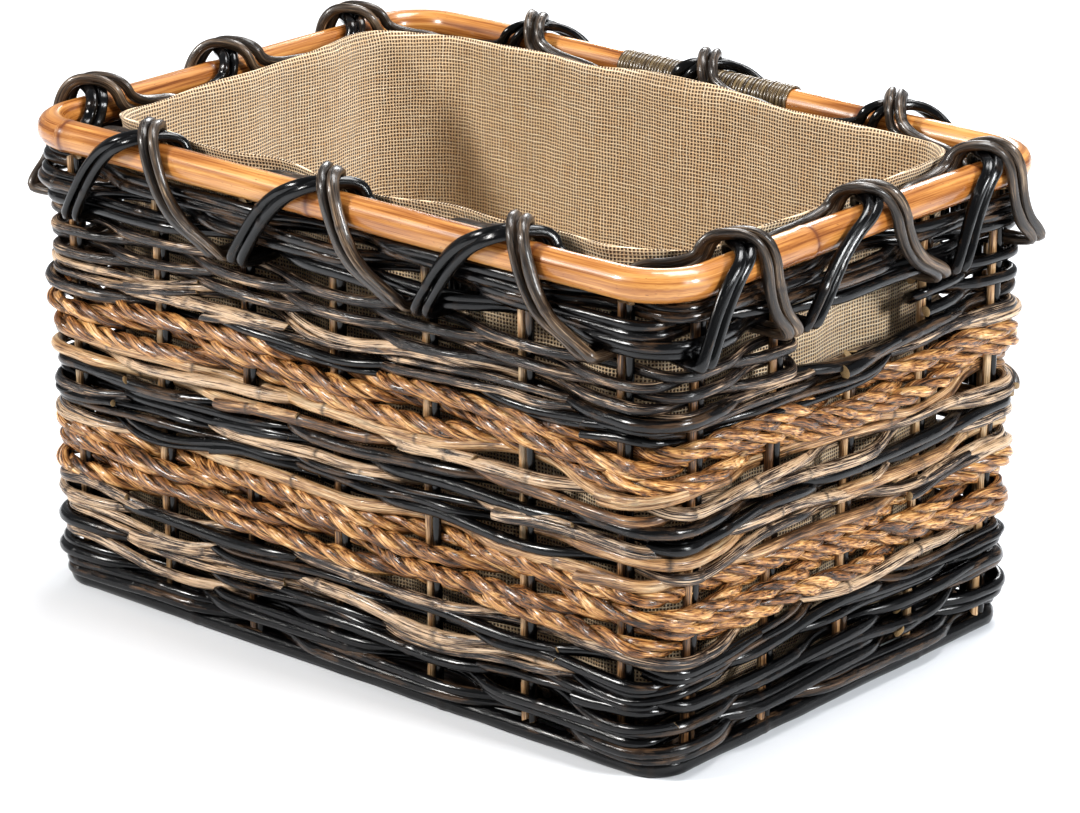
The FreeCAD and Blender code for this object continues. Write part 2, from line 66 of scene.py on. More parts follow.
def make_camera():
    back = Vector((math.sin(AZIMUTH) * math.cos(ELEVATION),
                   -math.cos(AZIMUTH) * math.cos(ELEVATION), math.sin(ELEVATION)))
    level = (-back).cross(Vector((0, 0, 1))).normalized()
    upright = level.cross(-back)
    right = level * math.cos(ROLL) + upright * math.sin(ROLL)
    up = upright * math.cos(ROLL) - level * math.sin(ROLL)
    data = bpy.data.cameras.new("camera")
    data.lens, data.sensor_width, data.sensor_fit = LENS, SENSOR, "HORIZONTAL"
    data.clip_end = CLIP_END
    camera = added("camera", data)
    camera.matrix_world = Matrix.Translation(TARGET + back * DISTANCE) @ Matrix(
        (right, up, back)).transposed().to_4x4()
    bpy.context.scene.camera = camera


make_camera()

# ---- smooth random numbers along a line
RIPPLE_WAVES = 5


def ripple(places, wavelength):
    """Smooth noise of about -1 to 1 along a line, from a few sines of random length and phase."""
    total = np.zeros_like(places, dtype=float)
    for _ in range(RIPPLE_WAVES):
        length = wavelength * rng.uniform(0.6, 1.8)
        total += np.sin(TAU * (places / length + rng.uniform()))
    return total / math.sqrt(RIPPLE_WAVES)


def bell(places, middle, width):
    """A smooth bump of height 1."""
    return np.exp(-((places - middle) / width) ** 2)


def run_of(centre):
    """Distance along a line of points."""
    steps = np.linalg.norm(np.diff(centre, axis=0), axis=1)
    return np.concatenate(([0.0], np.cumsum(steps)))


def respaced(centre, step, closed=False):
    """The same line with evenly spaced points."""
    if closed:
        centre = np.vstack([centre, centre[:1]])
    along = run_of(centre)
    count = max(4, int(round(along[-1] / step)))
    places = np.linspace(0, along[-1], count + 1)
    line = np.column_stack([np.interp(places, along, centre[:, axis]) for axis in range(3)])
    return line[:-1] if closed else line


def softened(points, rounds):
    """A smooth closed curve that cuts the corners of a few points."""
    points = np.asarray(points, dtype=float)
    for _ in range(rounds):
        ahead = np.roll(points, -1, axis=0)
        cut = np.empty((2 * len(points), 3))
        cut[0::2], cut[1::2] = 0.75 * points + 0.25 * ahead, 0.25 * points + 0.75 * ahead
        points = cut
    return points


# ---- meshes made of many tubes
class Bundle:
    """Tubes gathered into one mesh, with what the materials read at each corner."""

    def __init__(self):
        self.points, self.faces, self.count = [], [], 0
        self.values = {"grain": [], "tone": [], "knot": [], "cut": [], "depth": []}

    def add(self, points, faces, **values):
        self.points.append(points)
        self.faces.append(np.asarray(faces) + self.count)
        self.count += len(points)
        for name, held in self.values.items():
            value = values.get(name, 0.0)
            held.append(value if name == "grain" else np.broadcast_to(value, (len(points),)))

    def finish(self, name, material):
        points = np.vstack(self.points) * MM
        sizes = np.concatenate([np.full(len(faces), faces.shape[1]) for faces in self.faces])
        corners = np.concatenate([faces.ravel() for faces in self.faces])
        mesh = bpy.data.meshes.new(name)
        mesh.vertices.add(len(points))
        mesh.vertices.foreach_set("co", points.astype(np.float32).ravel())
        mesh.loops.add(len(corners))
        mesh.loops.foreach_set("vertex_index", corners.astype(np.int32))
        mesh.polygons.add(len(sizes))
        starts = np.concatenate(([0], np.cumsum(sizes)[:-1]))
        mesh.polygons.foreach_set("loop_start", starts.astype(np.int32))
        mesh.update(calc_edges=True)
        mesh.polygons.foreach_set("use_smooth", np.ones(len(sizes), dtype=bool))
        for key, held in self.values.items():
            kind = "FLOAT_VECTOR" if key == "grain" else "FLOAT"
            layer = mesh.attributes.new(key, kind, "POINT")
            data = np.concatenate(held).astype(np.float32)
            layer.data.foreach_set("vector" if key == "grain" else "value", data.ravel())
        mesh.materials.append(material)
        return added(name, mesh)


def carried_frames(centre, closed):
    """Two directions across a line at each point, turning as little as they can."""
    if closed:
        tangent = np.roll(centre, -1, axis=0) - np.roll(centre, 1, axis=0)
    else:
        tangent = np.gradient(centre, axis=0)
    tangent /= np.linalg.norm(tangent, axis=1)[:, None]
    first = np.array([0.0, 0.0, 1.0]) if abs(tangent[0][2]) < 0.9 else np.array([1.0, 0.0, 0.0])
    across = np.empty_like(centre)
    carried = first
    for index, heading in enumerate(tangent):
        carried = carried - heading * carried.dot(heading)
        carried = carried / math.sqrt(carried.dot(carried))
        across[index] = carried
    other = np.cross(tangent, across)
    if closed:
        back = across[-1] - tangent[0] * across[-1].dot(tangent[0])
        twist = math.atan2(back.dot(other[0]), back.dot(across[0]))
        turn = -twist * np.arange(len(centre)) / len(centre)
        turned = across * np.cos(turn)[:, None] + other * np.sin(turn)[:, None]
        across, other = turned, np.cross(tangent, turned)
    return tangent, across, other


def grid_faces(rings, sides, closed=False, flipped=False):
    """Four-cornered faces between rings of points, from ring to ring. flipped turns them over."""
    ring, side = np.arange(rings if closed else rings - 1)[:, None] * sides, np.arange(sides)
    ahead, turned = (ring + sides) % (rings * sides), (side + 1) % sides
    faces = np.stack([ring + side, ring + turned, ahead + turned, ahead + side], axis=-1)
    return faces.reshape(-1, 4)[:, [0, 3, 2, 1] if flipped else slice(None)]


def fan_faces(first, sides, middle):
    """Three-cornered faces from a ring of points, numbered on from first, to one in its middle."""
    side = np.arange(sides)
    return np.stack([first + side, first + (side + 1) % sides, np.full(sides, middle)], axis=-1)


def tube(bundle, centre, radius, sides, closed, section, tone, knot, depth=1.0, cuts=(0.0, 0.0),
         seed=0.0):
    """A tube along a line. section scales the radius round it, cuts are the slopes of its ends."""
    count = len(centre)
    tangent, across, other = carried_frames(centre, closed)
    angle = np.arange(sides) * TAU / sides
    reach = np.reshape(radius, (-1, 1)) * section
    side_a, side_b = reach * np.cos(angle), reach * np.sin(angle)
    points = (centre[:, None] + across[:, None] * side_a[..., None]
              + other[:, None] * side_b[..., None])
    if not closed:
        for ring, slope in ((0, cuts[0]), (-1, cuts[1])):
            points[ring] += tangent[ring] * (slope * side_a[ring])[:, None]
    along = run_of(centre) + seed * 1000
    grain = np.stack([np.repeat(along[:, None], sides, axis=1), side_a, side_b], axis=-1) * MM

    def spread(value):
        """A value for the tube, for each ring or for each corner, as one for each corner."""
        value = np.asarray(value, dtype=float)
        return np.broadcast_to(value[:, None] if value.ndim == 1 else value, (count, sides)).ravel()

    bundle.add(points.reshape(-1, 3), grid_faces(count, sides, closed), grain=grain.reshape(-1, 3),
               tone=tone, knot=spread(knot), depth=spread(depth))
    if closed:
        return
    for ring, order in ((0, -1), (-1, 1)):
        rim = points[ring]
        middle = rim.mean(axis=0)
        inner = middle + (rim - middle) * 0.9 + tangent[ring] * order * 0.25
        cap = np.vstack([rim, inner, middle + tangent[ring] * order * 0.3])
        grain_cap = np.vstack([grain[ring], grain[ring], grain[ring].mean(axis=0)])
        bundle.add(cap, grid_faces(2, sides)[:, ::order], grain=grain_cap, tone=tone, cut=1.0)
        fan = fan_faces(sides, sides, 2 * sides)[:, ::order]
        bundle.faces.append(fan + bundle.count - len(cap))


def rod(bundle, centre, diameter, closed=False, sides=12, worn=1.0, level=1.0,
        knot_every=(70, 230)):
    """A natural rod: uneven, a little oval, grooved, with knots here and there.

    worn scales its unevenness and level is its thickness at each point, as a share of its diameter.
    """
    along = run_of(centre)
    length = along[-1]
    fade = np.clip(np.sin(math.pi * along / length), 0, 1) ** 0.3 if closed else 1.0
    level = level * (1 + 0.04 * worn * ripple(along, 55) * fade)
    knot = np.zeros(len(along))
    place = rng.uniform(*knot_every) * 0.6
    while place < length - 6:
        knot = np.maximum(knot, bell(along, place, 1.4))
        level = level + 0.08 * bell(along, place, 2.6) - 0.04 * bell(along, place + 4, 2.5)
        place += rng.uniform(*knot_every)
    angle = np.arange(sides) * TAU / sides
    drift = np.reshape(ripple(along, 300) * fade, (-1, 1))
    section = np.ones((len(along), sides))
    for order, share in ((2, 0.06), (3, 0.035), (5, 0.02)):
        section += share * worn * np.cos(order * angle + rng.uniform(0, TAU) + drift)
    groove = np.reshape(np.clip(ripple(along, 140) + 0.3, 0, 1) * fade, (-1, 1))
    for _ in range(2):
        gap = np.angle(np.exp(1j * (angle - rng.uniform(0, TAU) - drift)))
        section -= 0.13 * worn * np.exp(-(gap / 0.3) ** 2) * groove
    tube(bundle, centre, diameter / 2 * level, sides, closed, section, rng.uniform(), knot,
         cuts=rng.uniform(-0.8, 0.8, 2), seed=rng.uniform(0, 40))


# ---- the line of stakes, and rows round it
HALF_LENGTH, HALF_WIDTH, FLARE, FLARE_HEIGHT = 262.0, 180.0, 5.0, 300.0
LONG_STATIONS = [78.6 * step for step in range(-3, 4)]
SHORT_STATIONS = [77.0 * step for step in range(-2, 3)]
# Diameters of a stake, a thin rod, a thick pair and a rope, then the step from row to row of each.
STAKE, ROD, THICK, ROPE = 5.5, 6.5, 10.0, 10.0
ROW, THICK_ROW, ROPE_ROW = 7.0, 10.5, 10.4
PAIR_HALF = 3.2    # from the middle of a stake pair to a stake
WALL_BEND = 24.0
WANDER = 5.0       # how far neighbouring rows rise and fall together


class Outline:
    """A rounded rectangle, measured from the start of its front run, counter-clockwise."""

    def __init__(self, half_x, half_y, bend):
        self.half_x, self.half_y, self.bend = half_x, half_y, bend
        long, short, arc = 2 * (half_x - bend), 2 * (half_y - bend), math.pi * bend / 2
        self.edges = np.cumsum([0, long, arc, short, arc, long, arc, short, arc])
        self.length = self.edges[-1]

    def at(self, places):
        """Points and outward directions at distances along the outline."""
        places = np.mod(np.asarray(places, dtype=float), self.length)
        piece = np.clip(np.searchsorted(self.edges, places, side="right") - 1, 0, 7)
        local = places - self.edges[piece]
        side = piece // 2
        inner_x, inner_y = self.half_x - self.bend, self.half_y - self.bend
        centre_x = np.array([1, 1, -1, -1])[side] * inner_x
        centre_y = np.array([-1, 1, 1, -1])[side] * inner_y
        turn = np.where(piece % 2 == 1, local / self.bend, 0.0)
        angle = -math.pi / 2 + side * math.pi / 2 + turn
        out = np.stack([np.cos(angle), np.sin(angle)], axis=-1)
        back = np.where(piece % 2 == 0, self.edges[piece + 1] - self.edges[piece] - local, 0.0)
        run = np.stack([-np.sin(angle), np.cos(angle)], axis=-1)
        centre = np.stack([centre_x, centre_y], axis=-1)
        return centre + out * self.bend - run * back[..., None], out

    def round(self, count):
        """Evenly spaced distances round the outline, with their points and outward directions."""
        places = np.linspace(0, self.length, count, endpoint=False)
        return places, *self.at(places)

    def place_of(self, side, along):
        """The distance at which a side's own place lies."""
        return self.edges[2 * side] + along + (self.half_y if side % 2 else self.half_x) - self.bend


def wall_outline(height):
    grown = FLARE * height / FLARE_HEIGHT
    return Outline(HALF_LENGTH + grown, HALF_WIDTH + grown, WALL_BEND)


def station_places(outline):
    return np.array([outline.place_of(side, along) for side in range(4)
                     for along in (SHORT_STATIONS if side % 2 else LONG_STATIONS)])


STATIONS = 24
# Neighbouring rows lean together, so their rises and falls share one slow wander.
wander = [(rng.uniform(0.5, 1), rng.uniform(0, TAU), rng.integers(2, 9), rng.uniform(0.01, 0.02))
          for _ in range(6)]


def shared_wander(turned, height):
    """A rise or fall that rows near each other share. turned runs from 0 to 1 round the basket."""
    total = 0.0
    for share, start, waves, rise in wander:
        total = total + share * np.sin(TAU * waves * turned + start + rise * height)
    return total / 3


REPEAT = 3    # a row passes outside two stake pairs and inside the third


def sway_side(station, phase, repeat):
    """1 where a row passes outside a stake pair and -1 where it passes inside."""
    return np.where((station + phase) % repeat == repeat - 1, -1.0, 1.0)


def row_line(height, phase, diameter, places, lift=5.0, repeat=REPEAT, sway=1.0):
    """A row's middle line at distances round the basket, weaving in and out, rising and falling."""
    outline = wall_outline(height)
    stations = station_places(outline)
    extended = np.concatenate([stations - outline.length, stations, stations + outline.length])
    index = np.searchsorted(extended, places, side="right") - 1
    step = (places - extended[index]) / (extended[index + 1] - extended[index])
    station = index % STATIONS
    ahead = (station + 1) % STATIONS
    eased = 0.5 - 0.5 * np.cos(math.pi * (step - 0.45 * np.sin(TAU * step) / TAU))
    amount = sway * ((STAKE + diameter) / 2 + 0.2)
    here_side, ahead_side = sway_side(station, phase, repeat), sway_side(ahead, phase, repeat)
    offset = amount * (here_side + (ahead_side - here_side) * eased)
    rises = np.random.default_rng(900 + int(round(height * 10)))
    lifts = rises.uniform(-lift, lift, STATIONS)
    blend = 0.5 - 0.5 * np.cos(math.pi * step)
    calm = min(max(min(height - 8, 290 - height) / 60, 0.2), 1.0)
    rise = lifts[station] + (lifts[ahead] - lifts[station]) * blend
    rise = rise + WANDER * calm * shared_wander(places / outline.length, height)
    flat, out = outline.at(places)
    return np.column_stack([flat + out * np.reshape(offset, (-1, 1)), height + rise])


STEP = 2.4    # from point to point along a rod


def row_run(height, start_station, end_station, before, after):
    """Distances from one station to another, the longer way when they are the same."""
    outline = wall_outline(height)
    stations = station_places(outline)
    first = stations[start_station % STATIONS] - before
    last = stations[end_station % STATIONS] + after
    while last <= first + 1:
        last += outline.length
    return np.linspace(first, last, int((last - first) / STEP) + 2)


TWIN_SHARE, TWIN, SINGLE = 0.38, (5.2, 6.3), (1.16 * ROD, 1.46 * ROD)    # how many lengths, how thick


def lapped_rods(bundle, height, phase, first, last, worn, knot_every):
    """One rod of the frame, as two or three lengths whose ends lap over each other.

    Now and then a length is two slimmer rods laid together.
    """
    span = (last - first) % STATIONS or STATIONS
    lengths = 3 if span > 9 else 2
    inner_marks = [first + int(round(span * (part + rng.uniform(-0.14, 0.14)) / lengths))
                   for part in range(1, lengths)]
    marks = [first] + inner_marks + [first + span]
    for order in range(lengths):
        lead = rng.uniform(14, 34) if order else 0.0
        tail = rng.uniform(22, 62) if order < lengths - 1 else 0.0
        places = row_run(height, marks[order], marks[order + 1], lead, tail)
        centre = row_line(height, phase, ROD, places)
        out = wall_outline(height).at(places)[1]
        along, left = places - places[0], places[-1] - places
        shift = np.zeros(len(places))
        level = np.ones(len(places))
        if order:
            shift += rng.choice((3.6, -1.4)) * np.exp(-(along / 26) ** 2)
            centre[:, 2] -= 2.8 * np.exp(-(along / 24) ** 2)
        if order < lengths - 1:
            shift += 3.2 * np.exp(-(left / 30) ** 2)
            centre[:, 2] += 3.6 * np.exp(-(left / 26) ** 2)
            level = level * (1 - 0.45 * np.exp(-(left / 24) ** 2))
        centre[:, :2] += out * shift[:, None]
        if rng.uniform() < TWIN_SHARE:
            twist = rng.uniform(0, TAU) + 1.3 * ripple(along, 150)
            for way in (-1, 1):
                strand = centre.copy()
                strand[:, :2] += out * (way * 1.6 * np.sin(twist))[:, None]
                strand[:, 2] += way * (2.7 + 0.8 * np.cos(twist))
                rod(bundle, strand, rng.uniform(*TWIN), worn=worn, level=level,
                    knot_every=knot_every)
        else:
            centre[:, :2] += out * (0.8 + 0.8 * ripple(along, 160))[:, None]
            rod(bundle, centre, rng.uniform(*SINGLE), worn=worn, level=level,
                knot_every=knot_every)


# ---- materials
class Graph:
    """A node material, built up with short calls."""

    def __init__(self, name):
        self.material = bpy.data.materials.new(name)
        self.material.use_nodes = True
        self.tree = self.material.node_tree
        self.shader = self.tree.nodes["Principled BSDF"]

    def node(self, kind, inputs=(), out=0, **settings):
        made = self.tree.nodes.new("ShaderNode" + kind)
        for key, value in settings.items():
            setattr(made, key, value)
        for key, value in dict(inputs).items():
            self.link(value, made.inputs[key])
        return made.outputs[out]

    def link(self, value, socket):
        if isinstance(value, bpy.types.NodeSocket):
            self.tree.links.new(value, socket)
        else:
            socket.default_value = value

    def attribute(self, name):
        return self.node("Attribute", attribute_name=name, out="Vector" if name == "grain" else "Fac")

    def math(self, operation, first, second=0.5, third=0.5):
        return self.node("Math", {0: first, 1: second, 2: third}, operation=operation)

    def total(self, first, *others):
        """The sum of some values, each given with its share."""
        total = self.math("MULTIPLY", *first)
        for value, share in others:
            total = self.math("MULTIPLY_ADD", value, share, total)
        return total

    def shifted(self, value, by, share):
        """A value raised where another is over a half, and lowered where it is under."""
        return self.math("MULTIPLY_ADD", self.math("SUBTRACT", by, 0.5), share, value)

    def scaled(self, vector, scale):
        return self.node("Mapping", {"Vector": vector, "Scale": scale})

    def noise(self, vector, scale, detail=3.0, rough=0.6):
        return self.node("TexNoise", {"Vector": self.scaled(vector, scale), "Scale": 1.0,
                                      "Detail": detail, "Roughness": rough})

    def ramp(self, value, stops):
        made = self.tree.nodes.new("ShaderNodeValToRGB")
        ramp = made.color_ramp
        while len(ramp.elements) < len(stops):
            ramp.elements.new(0.5)
        for element, (place, colour) in zip(ramp.elements, stops):
            element.position = place
            element.color = (*colour, 1)
        self.link(value, made.inputs[0])
        return made.outputs[0]

    def mix(self, amount, first, second):
        made = self.tree.nodes.new("ShaderNodeMix")
        made.data_type, made.clamp_factor = "RGBA", True
        self.link(amount, made.inputs["Factor"])
        colour_sockets = [s for s in made.inputs if s.type == "RGBA"]
        for socket, value in zip(colour_sockets, (first, second)):
            self.link((*value, 1) if isinstance(value, tuple) else value, socket)
        return next(s for s in made.outputs if s.type == "RGBA")

    def stained(self, colour, where, share, stain):
        """A colour with a share of a stain where a value is 1."""
        return self.mix(self.math("MULTIPLY", where, share), colour, stain)

    def remap(self, value, low, high, to_low=0.0, to_high=1.0):
        return self.node("MapRange", {"Value": value, "From Min": low, "From Max": high,
                                      "To Min": to_low, "To Max": to_high})

    def finish(self, colour, roughness, height, depth, coat=0.0, coat_rough=0.1, sheen=0.0,
               shine=0.5):
        """Sets the shader up. height drives a bump of the given depth in metres."""
        bump = self.node("Bump", {"Height": height, "Strength": 1.0, "Distance": depth})
        looks = {"Base Color": colour, "Roughness": roughness, "Normal": bump, "Coat Weight": coat,
                 "Coat Roughness": coat_rough, "Sheen Weight": sheen, "Specular IOR Level": shine}
        for key, value in looks.items():
            self.link(value, self.shader.inputs[key])
        return self.material


PITH = (0.42, 0.29, 0.15)


def cane_material(name, stops, patch, patch_at, rough, coat, bump, along=None, shine=0.5):
    """A rod's skin: fibres along it, patches of another colour, dark knots and a porous cut end.

    stops colour the fibres from dark to light, and patch is what shows where the skin is worn.
    Pieces that keep the frame's plain mesh have no grain of their own, so along gives its axis.
    """
    g = Graph(name)
    if along is None:
        grain, tone = g.attribute("grain"), g.attribute("tone")
        knot, cut = g.attribute("knot"), g.attribute("cut")
    else:
        place = g.node("TexCoord", out="Object")
        grain = g.node("Mapping", {"Vector": place, "Rotation": (0, 0, -along)})
        tone = g.noise(place, (9, 9, 9), 0)
        knot, cut = g.remap(g.noise(grain, (14, 60, 60), 0), 0.72, 0.78), 0.0
    fibre = g.noise(grain, (34, 1250, 1250), 3.0, 0.6)
    fine = g.noise(grain, (110, 4200, 4200), 2.0)
    blotch = g.noise(grain, (26, 160, 160), 4.0, 0.62)
    mixed = g.total((fibre, 0.72), (fine, 0.28))
    colour = g.ramp(g.shifted(g.shifted(mixed, tone, 0.20), blotch, 0.60), stops)
    worn = g.remap(g.shifted(blotch, tone, 0.16), patch_at, patch_at + 0.09)
    colour = g.mix(worn, colour, g.mix(0.55, g.ramp(mixed, patch), colour))
    crack = g.remap(g.noise(grain, (50, 2100, 2100), 1.0), 0.66, 0.72)
    colour = g.stained(colour, crack, 0.75, (0.012, 0.008, 0.006))
    colour = g.stained(colour, knot, 0.85, (0.02, 0.012, 0.008))
    if along is None:
        pores = g.node("TexVoronoi", {"Vector": g.scaled(grain, (2600, 2600, 2600)), "Scale": 1.0})
        end = g.mix(g.remap(pores, 0.15, 0.45), (0.16, 0.09, 0.04), PITH)
        colour = g.mix(cut, colour, end)
    roughness = g.remap(mixed, 0.35, 0.65, rough[0], rough[1])
    height = g.math("SUBTRACT", mixed, g.math("MULTIPLY", crack, 0.6))
    return g.finish(colour, roughness, height, bump, coat, 0.08, shine=shine)


CANES = {
    "black_rattan": dict(
        stops=((0.30, (0.0006, 0.0006, 0.0008)), (0.52, (0.0016, 0.0016, 0.002)),
               (0.66, (0.007, 0.006, 0.006)), (0.82, (0.07, 0.046, 0.034))),
        patch=((0.3, (0.02, 0.010, 0.006)), (0.7, (0.24, 0.14, 0.075))),
        patch_at=0.57, rough=(0.13, 0.24), coat=0.10, bump=0.00015, shine=0.38),
    "grey_rattan": dict(
        stops=((0.36, (0.003, 0.002, 0.002)), (0.45, (0.018, 0.011, 0.008)),
               (0.52, (0.150, 0.095, 0.062)), (0.60, (0.62, 0.46, 0.31))),
        patch=((0.3, (0.12, 0.050, 0.02)), (0.7, (0.74, 0.47, 0.25))),
        patch_at=0.53, rough=(0.20, 0.38), coat=0.18, bump=0.0006, shine=0.45),
    "tan_rattan": dict(
        stops=((0.30, (0.020, 0.009, 0.004)), (0.42, (0.13, 0.060, 0.024)),
               (0.54, (0.42, 0.235, 0.105)), (0.70, (0.80, 0.59, 0.35))),
        patch=((0.3, (0.03, 0.020, 0.014)), (0.7, (0.24, 0.17, 0.12))),
        patch_at=0.56, rough=(0.28, 0.50), coat=0.22, bump=0.0005),
    "brown_cane": dict(
        stops=((0.32, (0.005, 0.003, 0.002)), (0.45, (0.026, 0.016, 0.009)),
               (0.57, (0.095, 0.060, 0.035)), (0.70, (0.36, 0.26, 0.165))),
        patch=((0.3, (0.05, 0.03, 0.018)), (0.7, (0.24, 0.13, 0.06))),
        patch_at=0.58, rough=(0.24, 0.46), coat=0.35, bump=0.0004)}
GREY_BASE = dict(
    stops=((0.28, (0.010, 0.007, 0.005)), (0.46, (0.060, 0.040, 0.028)),
           (0.60, (0.17, 0.115, 0.080)), (0.76, (0.44, 0.33, 0.24))),
    patch=((0.3, (0.10, 0.045, 0.02)), (0.7, (0.50, 0.29, 0.14))),
    patch_at=0.56, rough=(0.30, 0.58), coat=0.25, bump=0.00035)
TAN_BASE = dict(
    stops=((0.28, (0.06, 0.025, 0.009)), (0.46, (0.26, 0.115, 0.040)),
           (0.60, (0.47, 0.25, 0.10)), (0.76, (0.78, 0.55, 0.30))),
    patch=((0.3, (0.07, 0.045, 0.03)), (0.7, (0.30, 0.22, 0.16))),
    patch_at=0.60, rough=(0.32, 0.55), coat=0.25, bump=0.00035)


def pole_material():
    """Lacquered golden cane: pale and orange fibres, reddish at its knots, with small dark flecks."""
    g = Graph("golden_cane")
    grain, knot = g.attribute("grain"), g.attribute("knot")
    fibre = g.noise(grain, (7, 330, 330), 3.0, 0.55)
    fine = g.noise(grain, (30, 1500, 1500), 2.0)
    slow = g.noise(grain, (9, 34, 34), 2.0)
    mixed = g.total((fibre, 0.50), (fine, 0.22), (slow, 0.28))
    colour = g.ramp(mixed, ((0.37, (0.15, 0.045, 0.009)), (0.47, (0.33, 0.125, 0.028)),
                            (0.55, (0.49, 0.220, 0.058)), (0.66, (0.70, 0.39, 0.135))))
    fleck = g.remap(g.noise(grain, (260, 900, 900), 1.0), 0.70, 0.76)
    colour = g.stained(colour, fleck, 0.8, (0.16, 0.05, 0.012))
    stain = g.remap(g.noise(grain, (16, 60, 60), 5.0, 0.7), 0.60, 0.74)
    colour = g.stained(colour, stain, 0.55, (0.26, 0.100, 0.028))
    colour = g.stained(colour, knot, 0.9, (0.14, 0.042, 0.012))
    return g.finish(colour, g.remap(mixed, 0.4, 0.6, 0.24, 0.40), mixed, 0.0003, 0.5, 0.10)


def rope_material():
    """Twisted banana leaf: glossy golden ribs on brown, with painted shade down in the creases."""
    g = Graph("leaf_rope")
    grain, tone, depth = g.attribute("grain"), g.attribute("tone"), g.attribute("depth")
    skewed = g.node("Mapping", {"Vector": grain, "Rotation": (0, 0.12, 0.12)})
    ribs = g.noise(skewed, (34, 950, 950), 2.5, 0.55)
    blotch = g.noise(grain, (34, 150, 150), 4.0, 0.68)
    toned = g.shifted(g.total((ribs, 0.58), (blotch, 0.42)), tone, 0.10)
    colour = g.ramp(toned, ((0.38, (0.020, 0.008, 0.003)), (0.46, (0.15, 0.058, 0.017)),
                            (0.53, (0.40, 0.180, 0.055)), (0.61, (0.70, 0.40, 0.15)),
                            (0.70, (0.94, 0.72, 0.42))))
    # Painted shade: near-black mixed in where a ply's surface lies near the rope's middle, down in the
    # creases between plies.
    colour = g.mix(g.remap(depth, 0.48, 0.88, 0.97, 0.0), colour, (0.010, 0.004, 0.002))
    crack = g.remap(g.noise(grain, (420, 260, 260), 2.0), 0.63, 0.70)
    colour = g.stained(colour, crack, 0.6, (0.05, 0.02, 0.008))
    return g.finish(colour, g.remap(ribs, 0.35, 0.65, 0.22, 0.42), ribs, 0.0013, 0.35, 0.15)


THREAD_PITCH = 0.00245


def burlap_material():
    """Plain-woven jute: slubby threads each way, with painted shade in the gap where four threads
    meet.
    """
    g = Graph("burlap")
    place = g.attribute("grain")
    wobble = g.node("TexNoise", {"Vector": g.scaled(place, (60, 60, 60)), "Scale": 1.0, "Detail": 2.0},
                    out="Color")
    bent = g.node("VectorMath", {0: wobble, 1: (0.5, 0.5, 0.5)}, operation="SUBTRACT")
    bent = g.node("VectorMath", {0: bent, 1: (0.0022, 0.0022, 0), 2: place},
                  operation="MULTIPLY_ADD")
    split = g.tree.nodes.new("ShaderNodeSeparateXYZ")
    g.link(bent, split.inputs[0])
    over = {}
    for axis in (0, 1):
        wave = g.math("SINE", g.math("MULTIPLY", split.outputs[axis], math.pi / THREAD_PITCH))
        over[axis] = g.math("MULTIPLY", wave, wave)
    slubs = [g.noise(place, scale, 2.0) for scale in ((520, 26, 1), (26, 520, 1))]
    hair = g.noise(place, (2400, 2400, 1), 2.0)
    gap = g.math("MULTIPLY", g.math("SUBTRACT", 1.0, over[0]), g.math("SUBTRACT", 1.0, over[1]))
    thread = g.math("MAXIMUM", g.math("MULTIPLY", over[0], slubs[0]),
                    g.math("MULTIPLY", over[1], slubs[1]))
    tint = g.total((thread, 0.9), (hair, 0.35))
    colour = g.ramp(tint, ((0.22, (0.33, 0.185, 0.085)), (0.40, (0.56, 0.37, 0.20)),
                           (0.56, (0.74, 0.54, 0.33)), (0.76, (0.90, 0.75, 0.54))))
    # Painted shade: the gap where four threads meet is darkened, standing in for shade down between
    # the threads.
    hole = g.remap(gap, 0.32, 0.68)
    colour = g.mix(hole, colour, (0.085, 0.040, 0.016))
    height = g.math("SUBTRACT", thread, gap)
    return g.finish(colour, 0.9, height, 0.0012, sheen=0.25)


def binding_material():
    """Thin brown cane with fine fibres."""
    g = Graph("binding_cane")
    grain, tone = g.attribute("grain"), g.attribute("tone")
    fibre = g.noise(grain, (60, 1800, 1800), 3.0)
    blotch = g.noise(grain, (18, 60, 60), 3.0)
    mixed = g.total((fibre, 0.6), (blotch, 0.4))
    toned = g.shifted(mixed, tone, 0.1)
    colour = g.ramp(toned, ((0.34, (0.020, 0.012, 0.006)), (0.48, (0.075, 0.048, 0.022)),
                            (0.60, (0.17, 0.12, 0.055)), (0.74, (0.40, 0.30, 0.16))))
    return g.finish(colour, g.remap(fibre, 0.35, 0.65, 0.25, 0.45), mixed, 0.0003, 0.5, 0.15)


# The finish of each slot.
SKINS = {name: cane_material(name, **looks) for name, looks in CANES.items()}
SKINS.update(golden_cane=pole_material(), leaf_rope=rope_material(), burlap=burlap_material(),
             binding_cane=binding_material())


def placed(bundle, name, slot, node, body="basket"):
    """Finishes a piece, hangs it on the body it rides on and hides the node it stands for."""
    piece = bundle.finish(name, SKINS[slot])
    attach(piece, body)
    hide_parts(node)
    return piece


# ---- woven bands
# Height of each band's lowest row.
WALE_AT, LOWER_WEAVE_AT, LOWER_ROPES_AT, MIDDLE_WEAVE_AT = 17.0, 36.2, 87.0, 127.2
UPPER_ROPES_AT, UPPER_WEAVE_AT, HANDHOLD_AT, BORDER_AT = 192.0, 221.6, 242.6, 280.8
TONES = {"k": "black", "g": "grey", "t": "tan"}


def weave_band(name, start, tones, first_row):
    """Rows of thin rods, each of two rods that go half way round. tones gives their colours."""
    bundles = {}
    for row, pair in enumerate(tones):
        number, height = first_row + row, start + row * ROW
        inside = (REPEAT - 1 - number) % REPEAT
        first = inside + REPEAT * (3 * number % (STATIONS // REPEAT))
        second = (first + STATIONS // 2 + REPEAT * (number % 2)) % STATIONS
        for tone, begin, end in ((pair[0], first, second), (pair[1], second, first)):
            bundle = bundles.setdefault(TONES[tone], Bundle())
            lapped_rods(bundle, height, number, begin, end, worn=0.5 if tone == "k" else 1.0,
                        knot_every=(80, 260) if tone == "k" else (45, 130))
    for tone, bundle in bundles.items():
        node = "%s_%s" % (name, tone)
        placed(bundle, node + "_rods", tone + "_rattan", node)


